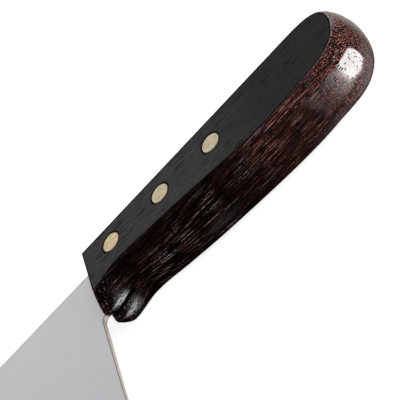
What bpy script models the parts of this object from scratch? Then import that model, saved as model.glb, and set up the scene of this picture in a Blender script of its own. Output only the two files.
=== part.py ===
"""A Chinese cleaver, lying on its side.

A broad ground blade runs back in one piece into a tang. The tang sits in a saw cut in a one-piece
hardwood handle with flat sides, a round belly and a beak at its front, and three two-piece rivets
go through both. +X points from the blade to the handle's butt, +Y from the cutting edge to the
spine and +Z up. The origin is on the handle's lower flat side, between its last two rivets.

Sizes along the knife are measured back from the front edge of the handle's flat sides, and sizes
across it down from their top edge.
"""

import math
from collections import namedtuple

import bmesh
import bpy
from mathutils import Vector

MM = 0.001

# Handle
FLAT_LENGTH = 96.1 * MM
HANDLE_THICKNESS = 16.4 * MM
TOP_CROWN = 1.2 * MM  # how far the handle's top and the steel in it stand above the flats
NOSE = 2.5 * MM  # how far the top of the front stands ahead of the flats
NOSE_ROUNDNESS = 1.2  # exponents of the rounding from flat to flat: 2 is an ellipse
GRIP_ROUNDNESS = 2.57
BUTT_ROUNDNESS = 1.9

# The butt: where its outline turns, measured from the flats' rear end
BUTT_TOP_BACK, BUTT_TOP_LEAD, BUTT_CROWN = 12.1 * MM, 2.2 * MM, 2.3 * MM
BUTT_END_FLAT, BUTT_END_DROP, BUTT_BULGE = 7.5 * MM, 0.8 * MM, 3.4 * MM
BUTT_CORNER_BACK, BUTT_CORNER_FLAT = 4.6 * MM, 17.2 * MM
BUTT_CORNER_LEAD, BUTT_CORNER_BULGE = 2.4 * MM, 5.7 * MM

# The belly: place along the handle, depth of the flats there and bulge below them
HEEL_OF_HAND_BACK, HEEL_OF_HAND_FLAT, HEEL_OF_HAND_BULGE = 16.1 * MM, 19.9 * MM, 7.0 * MM
PALM_REAR_BACK, PALM_REAR_FLAT, PALM_REAR_BULGE = 33.1 * MM, 20.9 * MM, 5.1 * MM
PALM_AT, PALM_FLAT, PALM_BULGE = 38.0 * MM, 18.0 * MM, 6.6 * MM
PALM_FRONT_AT, PALM_FRONT_FLAT, PALM_FRONT_BULGE = 24.0 * MM, 16.5 * MM, 5.9 * MM
NOTCH_AT, NOTCH_FLAT, NOTCH_BULGE = 10.1 * MM, 15.5 * MM, 3.5 * MM

# The beak, whose tip is rounded back beside the saw cut
BEAK_FLAT, BEAK_BULGE = 17.6 * MM, 5.1 * MM
BEAK_NOSE = 3.6 * MM
BEAK_FLAT_RADIUS = 0.9 * MM
BEAK_TIP_RADIUS = 2.0 * MM
NOTCH_ROUNDNESS = 2.9
BEAK_ROUNDNESS = 1.95
CLEFT_DEPTH = 1.4 * MM
CLEFT_REACH = 2.5 * MM  # from the middle to where that rounding starts
CLEFT_SPREAD = 1.5  # how far it runs along the outline, in stretches

CURVE_REACH = 0.36  # how far a curve runs on along its direction, as a share of the stretch
FLAT_BUTT_REACH = 0.48
MIDDLE_BUTT_REACH = 0.34
OUTLINE_STEPS = 9  # points along each stretch of the outlines
SECTION_STEPS = 10  # layers from a flat to the middle

# Rivets
FIRST_RIVET = 10.7 * MM
RIVET_PITCH = 20.1 * MM
FIRST_RIVET_DEPTH = 7.0 * MM
RIVET_LINE_DROP = 0.95 * MM  # how much lower each rivet is than the one before
HEAD_DIAMETER = 6.0 * MM
HEAD_THICKNESS = 2.4 * MM
TUBE_DIAMETER = 4.0 * MM
SHANK_DIAMETER = 2.4 * MM
SHANK_END_GAP = 0.5 * MM
TUBE_END_GAP = 0.6 * MM
RIVET_NAMES = ("front", "middle", "rear")
ROUND_SEGMENTS = 40

# Blade and tang
BLADE_LENGTH = 220.0 * MM
BLADE_HEIGHT = 110.0 * MM
SPINE_THICKNESS = 1.9 * MM
SHOULDER_THICKNESS = 0.4 * MM  # where the ground edge starts
EDGE_THICKNESS = 0.1 * MM
EDGE_BEVEL_HEIGHT = 1.4 * MM
EDGE_LOW_BACK = 90.0 * MM  # from the heel to the edge's lowest point
EDGE_RISE_AT_HEEL = 0.8 * MM
EDGE_RISE_AT_FRONT = 3.0 * MM
EDGE_STEPS = 16
GROUND_FACING = -0.8  # the edge is ground where the outline faces down more than this
SPINE_CORNER_RADIUS = 6.0 * MM
EDGE_CORNER_RADIUS = 9.0 * MM
HEEL_GAP = 2.5 * MM  # from the heel to the top of the handle's front
NECK_DEPTH = 19.3 * MM
NECK_FILLET = 1.8 * MM
NECK_LENGTH = 2.2 * MM
TANG_STEP = 4.0 * MM  # how far the tang's lower edge steps up behind the neck
TANG_MARGIN = 5.5 * MM  # steel below the rear rivet's centre
TANG_TAIL = 8.0 * MM  # steel behind the rear rivet's centre
TANG_CORNER_RADIUS = 3.0 * MM

# Fits
CLEARANCE = 0.1 * MM  # between a rivet or the tang and the wall beside it
SLOT_END_GAP = 0.3 * MM  # between the tang's edges and the saw cut
SAW_SLIT_WIDTH = 1.3 * MM
SAW_SLIT_LENGTH = 8.1 * MM  # how far back the slit shows in the belly
REACH = 10.0 * MM  # how far a cutter runs past what it cuts

MIDDLE = HANDLE_THICKNESS / 2
HEEL = -NOSE - HEEL_GAP
TANG_END = FIRST_RIVET + 2 * RIVET_PITCH + TANG_TAIL
ORIGIN_BACK = FIRST_RIVET + 1.5 * RIVET_PITCH
ORIGIN_DEPTH = FIRST_RIVET_DEPTH + 1.5 * RIVET_LINE_DROP


def collection(name):
    made = bpy.data.collections.new(name)
    bpy.context.scene.collection.children.link(made)
    return made


def material(name, colour, metallic, roughness):
    made = bpy.data.materials.new(name)
    made.use_nodes = True
    shader = made.node_tree.nodes["Principled BSDF"]
    shader.inputs["Base Color"].default_value = (*colour, 1.0)
    shader.inputs["Metallic"].default_value = metallic
    shader.inputs["Roughness"].default_value = roughness
    made.diffuse_color = (*colour, 1.0)
    return made


def place(obj, finish, group):
    """Puts a new object under the knife's empty, in its collection and with its material."""
    for held in list(obj.users_collection):
        held.objects.unlink(obj)
    group.objects.link(obj)
    obj.parent = knife
    if finish:
        obj.data.materials.clear()
        obj.data.materials.append(finish)
    else:
        obj.hide_render = True
        obj.display_type = "WIRE"
    return obj


def shade(obj, degrees=35):
    obj.data.shade_smooth()
    obj.data.set_sharp_from_angle(angle=math.radians(degrees))


def cut(obj, cutter, operation="DIFFERENCE"):
    change = obj.modifiers.new(f"{operation.lower()}_{cutter.name}", "BOOLEAN")
    change.operation = operation
    change.solver = "EXACT"
    change.object = cutter


def plate(name, outline, thickness, level, finish, group):
    """A flat plate with this outline, its middle plane at this level."""
    curve = bpy.data.curves.new(name, "CURVE")
    curve.dimensions = "2D"
    curve.fill_mode = "BOTH"
    curve.extrude = thickness / 2
    line = curve.splines.new("POLY")
    line.points.add(len(outline) - 1)
    for point, (x, y) in zip(line.points, outline):
        point.co = (x, y, 0, 1)
    line.use_cyclic_u = True
    drawn = bpy.data.objects.new(f"{name}_outline", curve)
    bpy.context.scene.collection.objects.link(drawn)
    graph = bpy.context.evaluated_depsgraph_get()
    mesh = bpy.data.meshes.new_from_object(drawn.evaluated_get(graph))
    bpy.data.objects.remove(drawn)
    solid = bmesh.new()
    solid.from_mesh(mesh)
    bmesh.ops.remove_doubles(solid, verts=solid.verts, dist=0.001 * MM)
    bmesh.ops.recalc_face_normals(solid, faces=solid.faces)
    bmesh.ops.translate(solid, verts=solid.verts, vec=(0, 0, level))
    solid.to_mesh(mesh)
    solid.free()
    mesh.name = name
    return place(bpy.data.objects.new(name, mesh), finish, group)


def cylinder(name, radius, low, high, finish, group):
    bpy.ops.mesh.primitive_cylinder_add(
        vertices=ROUND_SEGMENTS, radius=radius, depth=high - low, location=(0, 0, 0)
    )
    made = bpy.context.object
    made.name = made.data.name = name
    for vertex in made.data.vertices:
        vertex.co.z += (low + high) / 2
    return place(made, finish, group)


def arc(centre, radius, start, end, steps=8):
    """Points round an arc from one angle to another, in degrees."""
    angles = [math.radians(start + (end - start) * i / steps) for i in range(steps + 1)]
    return [(centre[0] + radius * math.cos(a), centre[1] + radius * math.sin(a)) for a in angles]


# One turning point of the handle's outlines: its place on the flats and halfway between them, the
# way that the outline runs there, and the section's exponent
Anchor = namedtuple(
    "Anchor",
    "flat middle turn roundness flat_reach middle_reach",
    defaults=(CURVE_REACH, CURVE_REACH),
)


def handle_anchors():
    """The outlines' turning points, clockwise from the top front."""
    butt_top = FLAT_LENGTH - BUTT_TOP_BACK
    corner = FLAT_LENGTH - BUTT_CORNER_BACK
    beak = -BEAK_FLAT - BEAK_BULGE
    anchors = [
        Anchor((0, 0), (-NOSE, TOP_CROWN), "corner", BUTT_ROUNDNESS),
        Anchor((TANG_END, 0), (TANG_END, TOP_CROWN), "level", BUTT_ROUNDNESS),
        Anchor(
            (butt_top, 0),
            (butt_top - BUTT_TOP_LEAD, BUTT_CROWN),
            "level",
            BUTT_ROUNDNESS,
            FLAT_BUTT_REACH,
            MIDDLE_BUTT_REACH,
        ),
        Anchor(
            (FLAT_LENGTH, -BUTT_END_FLAT),
            (FLAT_LENGTH + BUTT_BULGE, -BUTT_END_FLAT - BUTT_END_DROP),
            "upright",
            BUTT_ROUNDNESS,
        ),
        Anchor(
            (corner, -BUTT_CORNER_FLAT),
            (corner + BUTT_CORNER_LEAD, -BUTT_CORNER_FLAT - BUTT_CORNER_BULGE),
            "smooth",
            BUTT_ROUNDNESS,
        ),
    ]
    between = (GRIP_ROUNDNESS + BUTT_ROUNDNESS) / 2
    for at, depth, bulge, turn, roundness in (
        (FLAT_LENGTH - HEEL_OF_HAND_BACK, HEEL_OF_HAND_FLAT, HEEL_OF_HAND_BULGE, "smooth", BUTT_ROUNDNESS),
        (FLAT_LENGTH - PALM_REAR_BACK, PALM_REAR_FLAT, PALM_REAR_BULGE, "smooth", between),
        (PALM_AT, PALM_FLAT, PALM_BULGE, "smooth", GRIP_ROUNDNESS),
        (PALM_FRONT_AT, PALM_FRONT_FLAT, PALM_FRONT_BULGE, "smooth", GRIP_ROUNDNESS),
        (NOTCH_AT, NOTCH_FLAT, NOTCH_BULGE, "level", NOTCH_ROUNDNESS),
    ):
        anchors.append(Anchor((at, -depth), (at, -depth - bulge), turn, roundness))
    under = Anchor(
        (BEAK_FLAT_RADIUS, -BEAK_FLAT),
        (-BEAK_NOSE + BEAK_TIP_RADIUS, beak),
        "smooth",
        BEAK_ROUNDNESS,
    )
    front = Anchor(
        (0, -BEAK_FLAT + BEAK_FLAT_RADIUS),
        (-BEAK_NOSE, beak + BEAK_TIP_RADIUS),
        "upright",
        BEAK_ROUNDNESS,
    )
    return anchors + [under, front]


def smooth_outline(points, turns, reaches):
    """Points along a smooth closed line through these, straight on its last stretch."""
    directions = []
    for i, turn in enumerate(turns):
        if turn == "corner":
            directions.append(None)
            continue
        along = points[(i + 1) % len(points)] - points[i - 1]
        if turn == "level":
            along.y = 0
        if turn == "upright":
            along.x = 0
        directions.append(along.normalized())
    outline = []
    for i in range(len(points) - 1):
        start, end = points[i], points[i + 1]
        reach = (end - start).length * reaches[i]
        out_of = start + directions[i] * reach if directions[i] else None
        into = end - directions[i + 1] * reach if directions[i + 1] else None
        out_of = out_of or (start + into) / 2
        into = into or (end + out_of) / 2
        for step in range(OUTLINE_STEPS):
            t = step / OUTLINE_STEPS
            outline.append(
                start * (1 - t) ** 3
                + out_of * 3 * t * (1 - t) ** 2
                + into * 3 * t**2 * (1 - t)
                + end * t**3
            )
    outline += [points[-1].lerp(points[0], step / OUTLINE_STEPS) for step in range(OUTLINE_STEPS)]
    return outline


def fading(distance):
    """Falls smoothly from 1 at no distance to 0 at a distance of 1."""
    return max(1 - distance**2, 0.0) ** 2


def handle_body():
    """The handle before it is cut: layers from one flat through the middle to the other."""
    anchors = handle_anchors()
    turns = [anchor.turn for anchor in anchors]
    flat = smooth_outline(
        [Vector(anchor.flat) for anchor in anchors], turns, [anchor.flat_reach for anchor in anchors]
    )
    middle = smooth_outline(
        [Vector(anchor.middle) for anchor in anchors], turns, [anchor.middle_reach for anchor in anchors]
    )
    tip = len(anchors) - 1.5  # halfway between the last two anchors
    solid = bmesh.new()
    layers = []
    for step in range(2 * SECTION_STEPS + 1):
        across = -math.cos(math.pi / 2 * step / SECTION_STEPS)
        ahead = 1 - abs(across) ** NOSE_ROUNDNESS
        beside_cut = fading(abs(across) * MIDDLE / CLEFT_REACH)
        layer = []
        for i, (side, centre) in enumerate(zip(flat, middle)):
            stretch, share = divmod(i / OUTLINE_STEPS, 1)
            before = anchors[int(stretch)].roundness
            after = anchors[(int(stretch) + 1) % len(anchors)].roundness
            power = before + (after - before) * share
            out = max(1 - abs(across) ** power, 0.0) ** (1 / power)
            along = ahead if centre.x < side.x else out
            cleft = CLEFT_DEPTH * beside_cut * fading((i / OUTLINE_STEPS - tip) / CLEFT_SPREAD)
            x = side.x + (centre.x - side.x) * along + cleft
            y = side.y + (centre.y - side.y) * out + cleft
            layer.append(solid.verts.new((x, y, MIDDLE + MIDDLE * across)))
        layers.append(layer)
    for lower, upper in zip(layers, layers[1:]):
        for i in range(len(flat)):
            j = (i + 1) % len(flat)
            solid.faces.new((lower[i], upper[i], upper[j], lower[j]))
    solid.faces.new(layers[0])
    solid.faces.new(list(reversed(layers[-1])))
    bmesh.ops.remove_doubles(solid, verts=solid.verts, dist=0.001 * MM)
    bmesh.ops.recalc_face_normals(solid, faces=solid.faces)
    mesh = bpy.data.meshes.new("handle")
    solid.to_mesh(mesh)
    solid.free()
    return place(bpy.data.objects.new("handle", mesh), wood, parts)


def tang_outline(gap):
    """From the neck round the tang to the spine, this gap outside the steel."""
    last_depth = FIRST_RIVET_DEPTH + 2 * RIVET_LINE_DROP
    tail = TANG_END + gap
    low = -last_depth - TANG_MARGIN - gap
    neck = -NECK_DEPTH - gap
    fillet = NECK_FILLET - gap
    lower_front = HEEL + NECK_FILLET + NECK_LENGTH
    radius = TANG_CORNER_RADIUS + gap
    points = arc((HEEL + NECK_FILLET, neck - fillet), fillet, 180, 90)
    points.append((lower_front, neck))
    points.append((lower_front + TANG_STEP, neck + TANG_STEP))
    points += arc((tail - radius, low + radius), radius, 270, 360)
    return points


def blade_outline():
    """The whole steel's outline, down to where the ground edge starts."""
    tip = HEEL - BLADE_LENGTH
    lowest = HEEL - EDGE_LOW_BACK
    floor = TOP_CROWN - BLADE_HEIGHT + EDGE_BEVEL_HEIGHT
    edge = []
    for step in range(EDGE_STEPS + 1):
        x = tip + EDGE_CORNER_RADIUS + (HEEL - tip - EDGE_CORNER_RADIUS) * step / EDGE_STEPS
        end, rise = (HEEL, EDGE_RISE_AT_HEEL) if x > lowest else (tip, EDGE_RISE_AT_FRONT)
        edge.append((x, floor + rise * ((x - lowest) / (end - lowest)) ** 2))
    points = tang_outline(0)
    points.append((points[-1][0], TOP_CROWN))
    spine_corner = (tip + SPINE_CORNER_RADIUS, TOP_CROWN - SPINE_CORNER_RADIUS)
    points += arc(spine_corner, SPINE_CORNER_RADIUS, 90, 180)
    edge_corner = (edge[0][0], edge[0][1] + EDGE_CORNER_RADIUS)
    points += arc(edge_corner, EDGE_CORNER_RADIUS, 180, 270)
    return points + edge[1:]


def make_blade():
    """The blade, neck and tang, which thin from the spine to the edge."""
    blade = plate("blade", blade_outline(), SPINE_THICKNESS, 0, steel, parts)
    edge_top = TOP_CROWN - BLADE_HEIGHT + EDGE_BEVEL_HEIGHT + EDGE_RISE_AT_FRONT + EDGE_CORNER_RADIUS
    solid = bmesh.new()
    solid.from_mesh(blade.data)
    bottom = [
        face
        for face in solid.faces
        if face.normal.y < GROUND_FACING and face.calc_center_median().y < edge_top
    ]
    ground = bmesh.ops.extrude_face_region(solid, geom=bottom)
    lowest = [item for item in ground["geom"] if isinstance(item, bmesh.types.BMVert)]
    bmesh.ops.translate(solid, verts=lowest, vec=(0, -EDGE_BEVEL_HEIGHT, 0))
    for vertex in solid.verts:
        share = (TOP_CROWN - vertex.co.y) / BLADE_HEIGHT
        wall = SPINE_THICKNESS + (SHOULDER_THICKNESS - SPINE_THICKNESS) * share
        if vertex in lowest:
            wall = EDGE_THICKNESS
        vertex.co.z = MIDDLE + math.copysign(wall / 2, vertex.co.z)
    bmesh.ops.delete(solid, geom=[face for face in bottom if face.is_valid], context="FACES_ONLY")
    bmesh.ops.recalc_face_normals(solid, faces=solid.faces)
    solid.to_mesh(blade.data)
    solid.free()
    return blade


def saw_cut():
    """The slot that the tang sits in, open at the top and the front."""
    points = tang_outline(SLOT_END_GAP)
    points.append((points[-1][0], TOP_CROWN + REACH))
    points.append((HEEL - REACH, TOP_CROWN + REACH))
    points.append((HEEL - REACH, points[0][1]))
    width = SPINE_THICKNESS + 2 * CLEARANCE
    return plate("slot_cutter", points, width, MIDDLE, None, cutters)


def saw_slit():
    """The narrower slit that the saw leaves below the tang, open through the beak."""
    inside = -NECK_DEPTH + TANG_STEP + SLOT_END_GAP
    below = -BEAK_FLAT - BEAK_BULGE - REACH
    points = [
        (HEEL - REACH, below),
        (SAW_SLIT_LENGTH, below),
        (SAW_SLIT_LENGTH, inside),
        (HEEL - REACH, inside),
    ]
    return plate("slit_cutter", points, SAW_SLIT_WIDTH, MIDDLE, None, cutters)


def make_rivet(name, blade, handle, back, depth):
    """One rivet: a female half with a tube in the top face, and a male half with a shank below."""
    head = HEAD_DIAMETER / 2
    tube = TUBE_DIAMETER / 2
    shank = SHANK_DIAMETER / 2
    top = HANDLE_THICKNESS
    tube_foot = HEAD_THICKNESS + TUBE_END_GAP
    shank_top = top - HEAD_THICKNESS

    female = cylinder(f"rivet_{name}_female", head, top - HEAD_THICKNESS, top, brass, parts)
    stem = cylinder(f"{name}_stem_tool", tube, tube_foot, top - HEAD_THICKNESS / 2, None, cutters)
    bore = cylinder(
        f"{name}_bore_cutter", shank + CLEARANCE, tube_foot - REACH, shank_top, None, cutters
    )
    male = cylinder(f"rivet_{name}_male", head, 0, HEAD_THICKNESS, brass, parts)
    pin = cylinder(
        f"{name}_pin_tool", shank, HEAD_THICKNESS / 2, shank_top - SHANK_END_GAP, None, cutters
    )
    hole = cylinder(f"{name}_hole_cutter", tube + CLEARANCE, -REACH, top + REACH, None, cutters)
    lower_seat = cylinder(
        f"{name}_lower_seat_cutter",
        head + CLEARANCE,
        -REACH,
        HEAD_THICKNESS + CLEARANCE,
        None,
        cutters,
    )
    upper_seat = cylinder(
        f"{name}_upper_seat_cutter",
        head + CLEARANCE,
        top - HEAD_THICKNESS - CLEARANCE,
        top + REACH,
        None,
        cutters,
    )
    for piece in (female, stem, bore, male, pin, hole, lower_seat, upper_seat):
        piece.location = (back, -depth, 0)
    cut(female, stem, "UNION")
    cut(female, bore)
    cut(male, pin, "UNION")
    cut(blade, hole)
    cut(handle, hole)
    cut(handle, lower_seat)
    cut(handle, upper_seat)
    shade(female)
    shade(male)


for old in list(bpy.data.objects):
    bpy.data.objects.remove(old)

parts = collection("chinese_cleaver")
cutters = collection("cutters")
knife = bpy.data.objects.new("knife_frame", None)
knife.location = (-ORIGIN_BACK, ORIGIN_DEPTH, 0)
parts.objects.link(knife)

wood = material("handle_wood", (0.035, 0.028, 0.028), 0.0, 0.45)
steel = material("blade_steel", (0.55, 0.54, 0.55), 1.0, 0.35)
brass = material("rivet_brass", (0.60, 0.47, 0.28), 1.0, 0.40)

the_blade = make_blade()
the_handle = handle_body()
cut(the_handle, saw_cut())
cut(the_handle, saw_slit())
for number, rivet_name in enumerate(RIVET_NAMES):
    make_rivet(
        rivet_name,
        the_blade,
        the_handle,
        FIRST_RIVET + number * RIVET_PITCH,
        FIRST_RIVET_DEPTH + number * RIVET_LINE_DROP,
    )
shade(the_handle)
shade(the_blade, 20)
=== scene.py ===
import math
from collections import namedtuple

import bmesh
import bpy
from mathutils import Matrix, Vector


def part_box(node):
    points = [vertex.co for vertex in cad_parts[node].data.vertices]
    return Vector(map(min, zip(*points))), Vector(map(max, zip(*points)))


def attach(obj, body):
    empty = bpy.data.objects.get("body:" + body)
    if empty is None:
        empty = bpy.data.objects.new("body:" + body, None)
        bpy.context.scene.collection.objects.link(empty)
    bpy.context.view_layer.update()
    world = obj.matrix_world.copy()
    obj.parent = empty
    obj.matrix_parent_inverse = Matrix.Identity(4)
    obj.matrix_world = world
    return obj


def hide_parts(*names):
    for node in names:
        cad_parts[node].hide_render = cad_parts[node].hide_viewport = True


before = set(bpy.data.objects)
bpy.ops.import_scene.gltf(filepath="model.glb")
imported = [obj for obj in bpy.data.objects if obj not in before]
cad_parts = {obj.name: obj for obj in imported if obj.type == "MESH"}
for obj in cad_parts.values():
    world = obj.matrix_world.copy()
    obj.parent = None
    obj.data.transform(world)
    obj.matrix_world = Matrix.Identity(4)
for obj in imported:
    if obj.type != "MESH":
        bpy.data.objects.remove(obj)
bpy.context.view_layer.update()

MM = 0.001
SHADER = "Principled BSDF"

# Handle: the same driving sizes as the solid's
FLAT_LENGTH = 96.1 * MM
TOP_CROWN = 1.2 * MM
NOSE = 2.5 * MM
NOSE_ROUNDNESS = 1.2
GRIP_ROUNDNESS = 2.57
BUTT_ROUNDNESS = 1.9
BUTT_TOP_BACK, BUTT_TOP_LEAD, BUTT_CROWN = 12.1 * MM, 2.2 * MM, 2.3 * MM
BUTT_END_FLAT, BUTT_END_DROP, BUTT_BULGE = 7.5 * MM, 0.8 * MM, 3.4 * MM
BUTT_CORNER_BACK, BUTT_CORNER_FLAT = 4.6 * MM, 17.2 * MM
BUTT_CORNER_LEAD, BUTT_CORNER_BULGE = 2.4 * MM, 5.7 * MM
HEEL_OF_HAND_BACK, HEEL_OF_HAND_FLAT, HEEL_OF_HAND_BULGE = 16.1 * MM, 19.9 * MM, 7.0 * MM
PALM_REAR_BACK, PALM_REAR_FLAT, PALM_REAR_BULGE = 33.1 * MM, 20.9 * MM, 5.1 * MM
PALM_AT, PALM_FLAT, PALM_BULGE = 38.0 * MM, 18.0 * MM, 6.6 * MM
PALM_FRONT_AT, PALM_FRONT_FLAT, PALM_FRONT_BULGE = 24.0 * MM, 16.5 * MM, 5.9 * MM
NOTCH_AT, NOTCH_FLAT, NOTCH_BULGE = 10.1 * MM, 15.5 * MM, 3.5 * MM
BEAK_FLAT, BEAK_BULGE = 17.6 * MM, 5.1 * MM
BEAK_NOSE = 3.6 * MM
BEAK_FLAT_RADIUS = 0.9 * MM
BEAK_TIP_RADIUS = 2.0 * MM
NOTCH_ROUNDNESS = 2.9
BEAK_ROUNDNESS = 1.95
CLEFT_DEPTH = 1.4 * MM
CLEFT_REACH = 2.5 * MM
CLEFT_SPREAD = 1.5
CURVE_REACH = 0.36
FLAT_BUTT_REACH = 0.48
MIDDLE_BUTT_REACH = 0.34

# Handle: what the finer surface adds
OUTLINE_STEPS = 22
SECTION_STEPS = 26
CREASE_SLOPE = 0.3  # how steeply the round wood leaves the ground flats
CREASE_SHARPNESS = 4
EASED_WIDTH = 0.42 * MM
EASED_DEPTH = 0.08 * MM
GRIP_CENTRE_DEPTH = 9.0 * MM  # from the flats' top to the line that the flecks lie round
GRIP_RADIUS = 12.5 * MM
WELD = 0.0005 * MM

# Rivets
FIRST_RIVET = 10.7 * MM
FIRST_RIVET_DEPTH = 7.0 * MM
HEAD_THICKNESS = 2.4 * MM
TUBE_RADIUS = 2.0 * MM
SHANK_RADIUS = 1.2 * MM
RIM_BEVEL = 0.09 * MM
RIVET_RING_WIDTH = 0.25 * MM
ROUND_SEGMENTS = 96
RIVET_NAMES = ("front", "middle", "rear")

# Blade and tang
BLADE_LENGTH = 220.0 * MM
SHOULDER_THICKNESS = 0.4 * MM
EDGE_THICKNESS = 0.1 * MM
EDGE_BEVEL_HEIGHT = 1.4 * MM
EDGE_LOW_BACK = 90.0 * MM
EDGE_RISE_AT_HEEL = 0.8 * MM
EDGE_RISE_AT_FRONT = 3.0 * MM
EDGE_STEPS = 48
SPINE_CORNER_RADIUS = 6.0 * MM
EDGE_CORNER_RADIUS = 9.0 * MM
GROUND_FROM = 53  # degrees round the edge's front corner
NECK_DEPTH = 19.3 * MM
NECK_FILLET = 1.8 * MM
NECK_LENGTH = 2.2 * MM
TANG_STEP = 4.0 * MM
TANG_MARGIN = 5.5 * MM
TANG_CORNER_RADIUS = 3.0 * MM
STEEL_BEVEL = 0.15 * MM
ARC_STEPS = 20

# Degrees between two faces, from which their edge shows as sharp
WOOD_SHARP, STEEL_SHARP, BRASS_SHARP = 28, 24, 25

# Fits
CLEARANCE = 0.1 * MM
SLOT_END_GAP = 0.3 * MM
SAW_SLIT_WIDTH = 1.3 * MM
SAW_SLIT_LENGTH = 8.1 * MM
REACH = 10.0 * MM  # how far the cutters stand out of the wood

# Camera, solved from the rivets and outlines in the photograph
CAMERA_PLACE = Vector((79.05, -259.10, 178.93)) * MM
CAMERA_FORWARD = Vector((-0.2603, 0.8025, -0.5368))
CAMERA_UP = Vector((0.6948, 0.5418, 0.4730))
CAMERA_LENS = 105.49
SENSOR = 36.0
CLIP_START, CLIP_END = 0.01, 20.0

# World: white to the camera, with levels of its own for matte surfaces and for a sheen
AMBIENT = 0.75
ROOM_LEVEL = 0.03
BACKDROP_LEVEL = 1.2
BACKDROP_AXIS = Vector((0, 1, 0))
BACKDROP_ALONG, BACKDROP_HALF_ALONG, BACKDROP_SIDE_EDGE = -0.33, 1.15, 0.55
BACKDROP_TOP = (1.18, 0.80)  # it fades from nothing at the first to full at the second
BACKDROP_FOOT = (-1.2, -0.1)
LEAST = 0.01  # keeps a divisor from running to nothing
TABLE_AXIS = Vector((0.55, 0.0, -0.83))  # the white table's light from below the butt
TABLE_FROM, TABLE_TO = 0.7, 1.0
TABLE_LEVEL = 0.55

# Softbox, as the butt's sheen shows it
BUTT_SPOT_BACK, BUTT_SPOT_HEIGHT = 6.5 * MM, 11.5 * MM  # where the butt's highlight lies
SOFTBOX_AXIS = Vector((0.896, -0.439, 0.117))  # from there to the softbox
SOFTBOX_LONG = Vector((0.227, 0.462, -0.857))
SOFTBOX_AWAY = 130.0 * MM
SOFTBOX_HALF_LONG = 1.0  # this and the reaches below are shares of its distance
SOFTBOX_ABOVE, SOFTBOX_BELOW = 0.36, 0.85
SOFTBOX_EDGE_ABOVE, SOFTBOX_EDGE_BELOW = 0.06, 0.30
SOFTBOX_SOFTENS = (0.1, -0.3)  # across it, from its firm edge to its soft one
SOFTBOX_POWER = 1.25  # how far its corners are filled out
SOFTBOX_LEVEL = 9.5
HALO_GROWS = (-0.1, -0.7)  # across the softbox, from none to full
HALO_REACH = 1.7
HALO_LEVEL = 1.8
SHEET_MARGIN = 1.1

# Panel: a dim reflector beside the butt, on the camera's side
PANEL_AWAY = 200.0 * MM
PANEL_FROM, PANEL_TO = 28.0 * MM, 105.0 * MM  # along the knife, from dark to full
PANEL_FADES_FROM, PANEL_END = 130.0 * MM, 300.0 * MM
PANEL_HALF_HEIGHT = 260.0 * MM
PANEL_FULL_ABOVE = -60.0 * MM
PANEL_LEVEL = 1.5

# Card: small and round, low in front of the beak
CARD_AXIS = Vector((0.28, -0.67, -0.69))
CARD_AWAY, CARD_RADIUS = 60.0 * MM, 20.0 * MM
CARD_LEVEL = 9.5

# Lamp and floor
KEY_AXIS = Vector((0.75, -0.45, 0.48))
KEY_POWER = 1.2
KEY_DISTANCE = 0.9
KEY_SIZE = 0.6
FLOOR_HALF_SIZE = 6.0
FLOOR_DROP = 0.05 * MM
FLOOR_COLOUR = (0.80, 0.80, 0.80)
FLOOR_LIFT = 0.78  # how far the floor's own colour lifts its shadows

# Wood: where its finish changes along the knife, in millimetres, from none to full
REAR_ZONE = (4.0, 38.0)
BUTT_ZONE = (36.0, 52.0)
BEAK_ZONE = (-33.5, -37.5)
PITTED_ZONE = (-24.0, -32.0)
VARNISHED_ZONE = (18.0, 42.0)
# where painted shade darkens the flats towards the rear
FLATS_SHADE_ZONE = (-4.0, 34.0)

# Wood: the same, by the distance from the handle's middle plane
BY_FLATS = (6.2, 7.7)
BY_SLIT = (5.6, 1.2)

# Wood: grain, pores and varnish
GRAIN_WAVES = (0.03, 0.06, 0.06)  # how often the grain sways in a millimetre
GRAIN_SWAY = (0.0, 0.5, 0.5)
SPECK_CORE = 0.45  # the share of a speck's reach that is full
PORE_DEPTH = 0.10 * MM
EDGE_GRAIN_DEPTH = 0.05 * MM
SAW_MARK_DEPTH = 0.08 * MM
PIT_STRENGTH = 1.4
GRIP_VARNISH = 0.015
SLIT_VARNISH = (0.25, 1.0)  # from the beak's sides to its slit
RIVET_RING_REACH = (0.9, 0.5)  # beyond a rivet's rim, from where it ends to where it is full

# Metal
SPINE_SHADE = (0.55, 0.30)  # painted shade below the spine, in millimetres, from none to full
SLIT_SHADE_WIDTH = 1.0
SCRATCH_DEPTH = 0.02 * MM
BRASS_SCRATCH_DEPTH = 0.03 * MM
BRASS_TURNS = (-30.0, 0.0)  # along the knife, from yellow to greyer brass

# Each finish's number on the handle and on the blade
ROUND_WOOD, FLAT_WOOD, SAWN_WOOD, EDGE_WOOD = range(4)
SIDE_STEEL, RIM_STEEL, GROUND_STEEL, CORNER_STEEL = range(4)

# Where things lie, from the solids
HANDLE_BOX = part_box("handle")
BLADE_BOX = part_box("blade")
RIVET_CENTRES = [
    (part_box(f"rivet_{name}_female")[0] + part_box(f"rivet_{name}_male")[1]) / 2
    for name in RIVET_NAMES
]
HEAD_RADIUS = (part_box("rivet_front_male")[1].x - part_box("rivet_front_male")[0].x) / 2
THICKNESS = HANDLE_BOX[1].z - HANDLE_BOX[0].z
MIDDLE = (HANDLE_BOX[1].z + HANDLE_BOX[0].z) / 2
FLATS_FRONT = RIVET_CENTRES[0].x - FIRST_RIVET
FLATS_TOP = RIVET_CENTRES[0].y + FIRST_RIVET_DEPTH
OUTLINE_ORIGIN = Vector((FLATS_FRONT, FLATS_TOP, 0))
RIVET_PLACES = [
    (centre.x - OUTLINE_ORIGIN.x, centre.y - OUTLINE_ORIGIN.y) for centre in RIVET_CENTRES
]
LAST_RIVET_DEPTH = FLATS_TOP - RIVET_CENTRES[-1].y
TANG_END = BLADE_BOX[1].x - FLATS_FRONT
SPINE_THICKNESS = BLADE_BOX[1].z - BLADE_BOX[0].z
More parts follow.
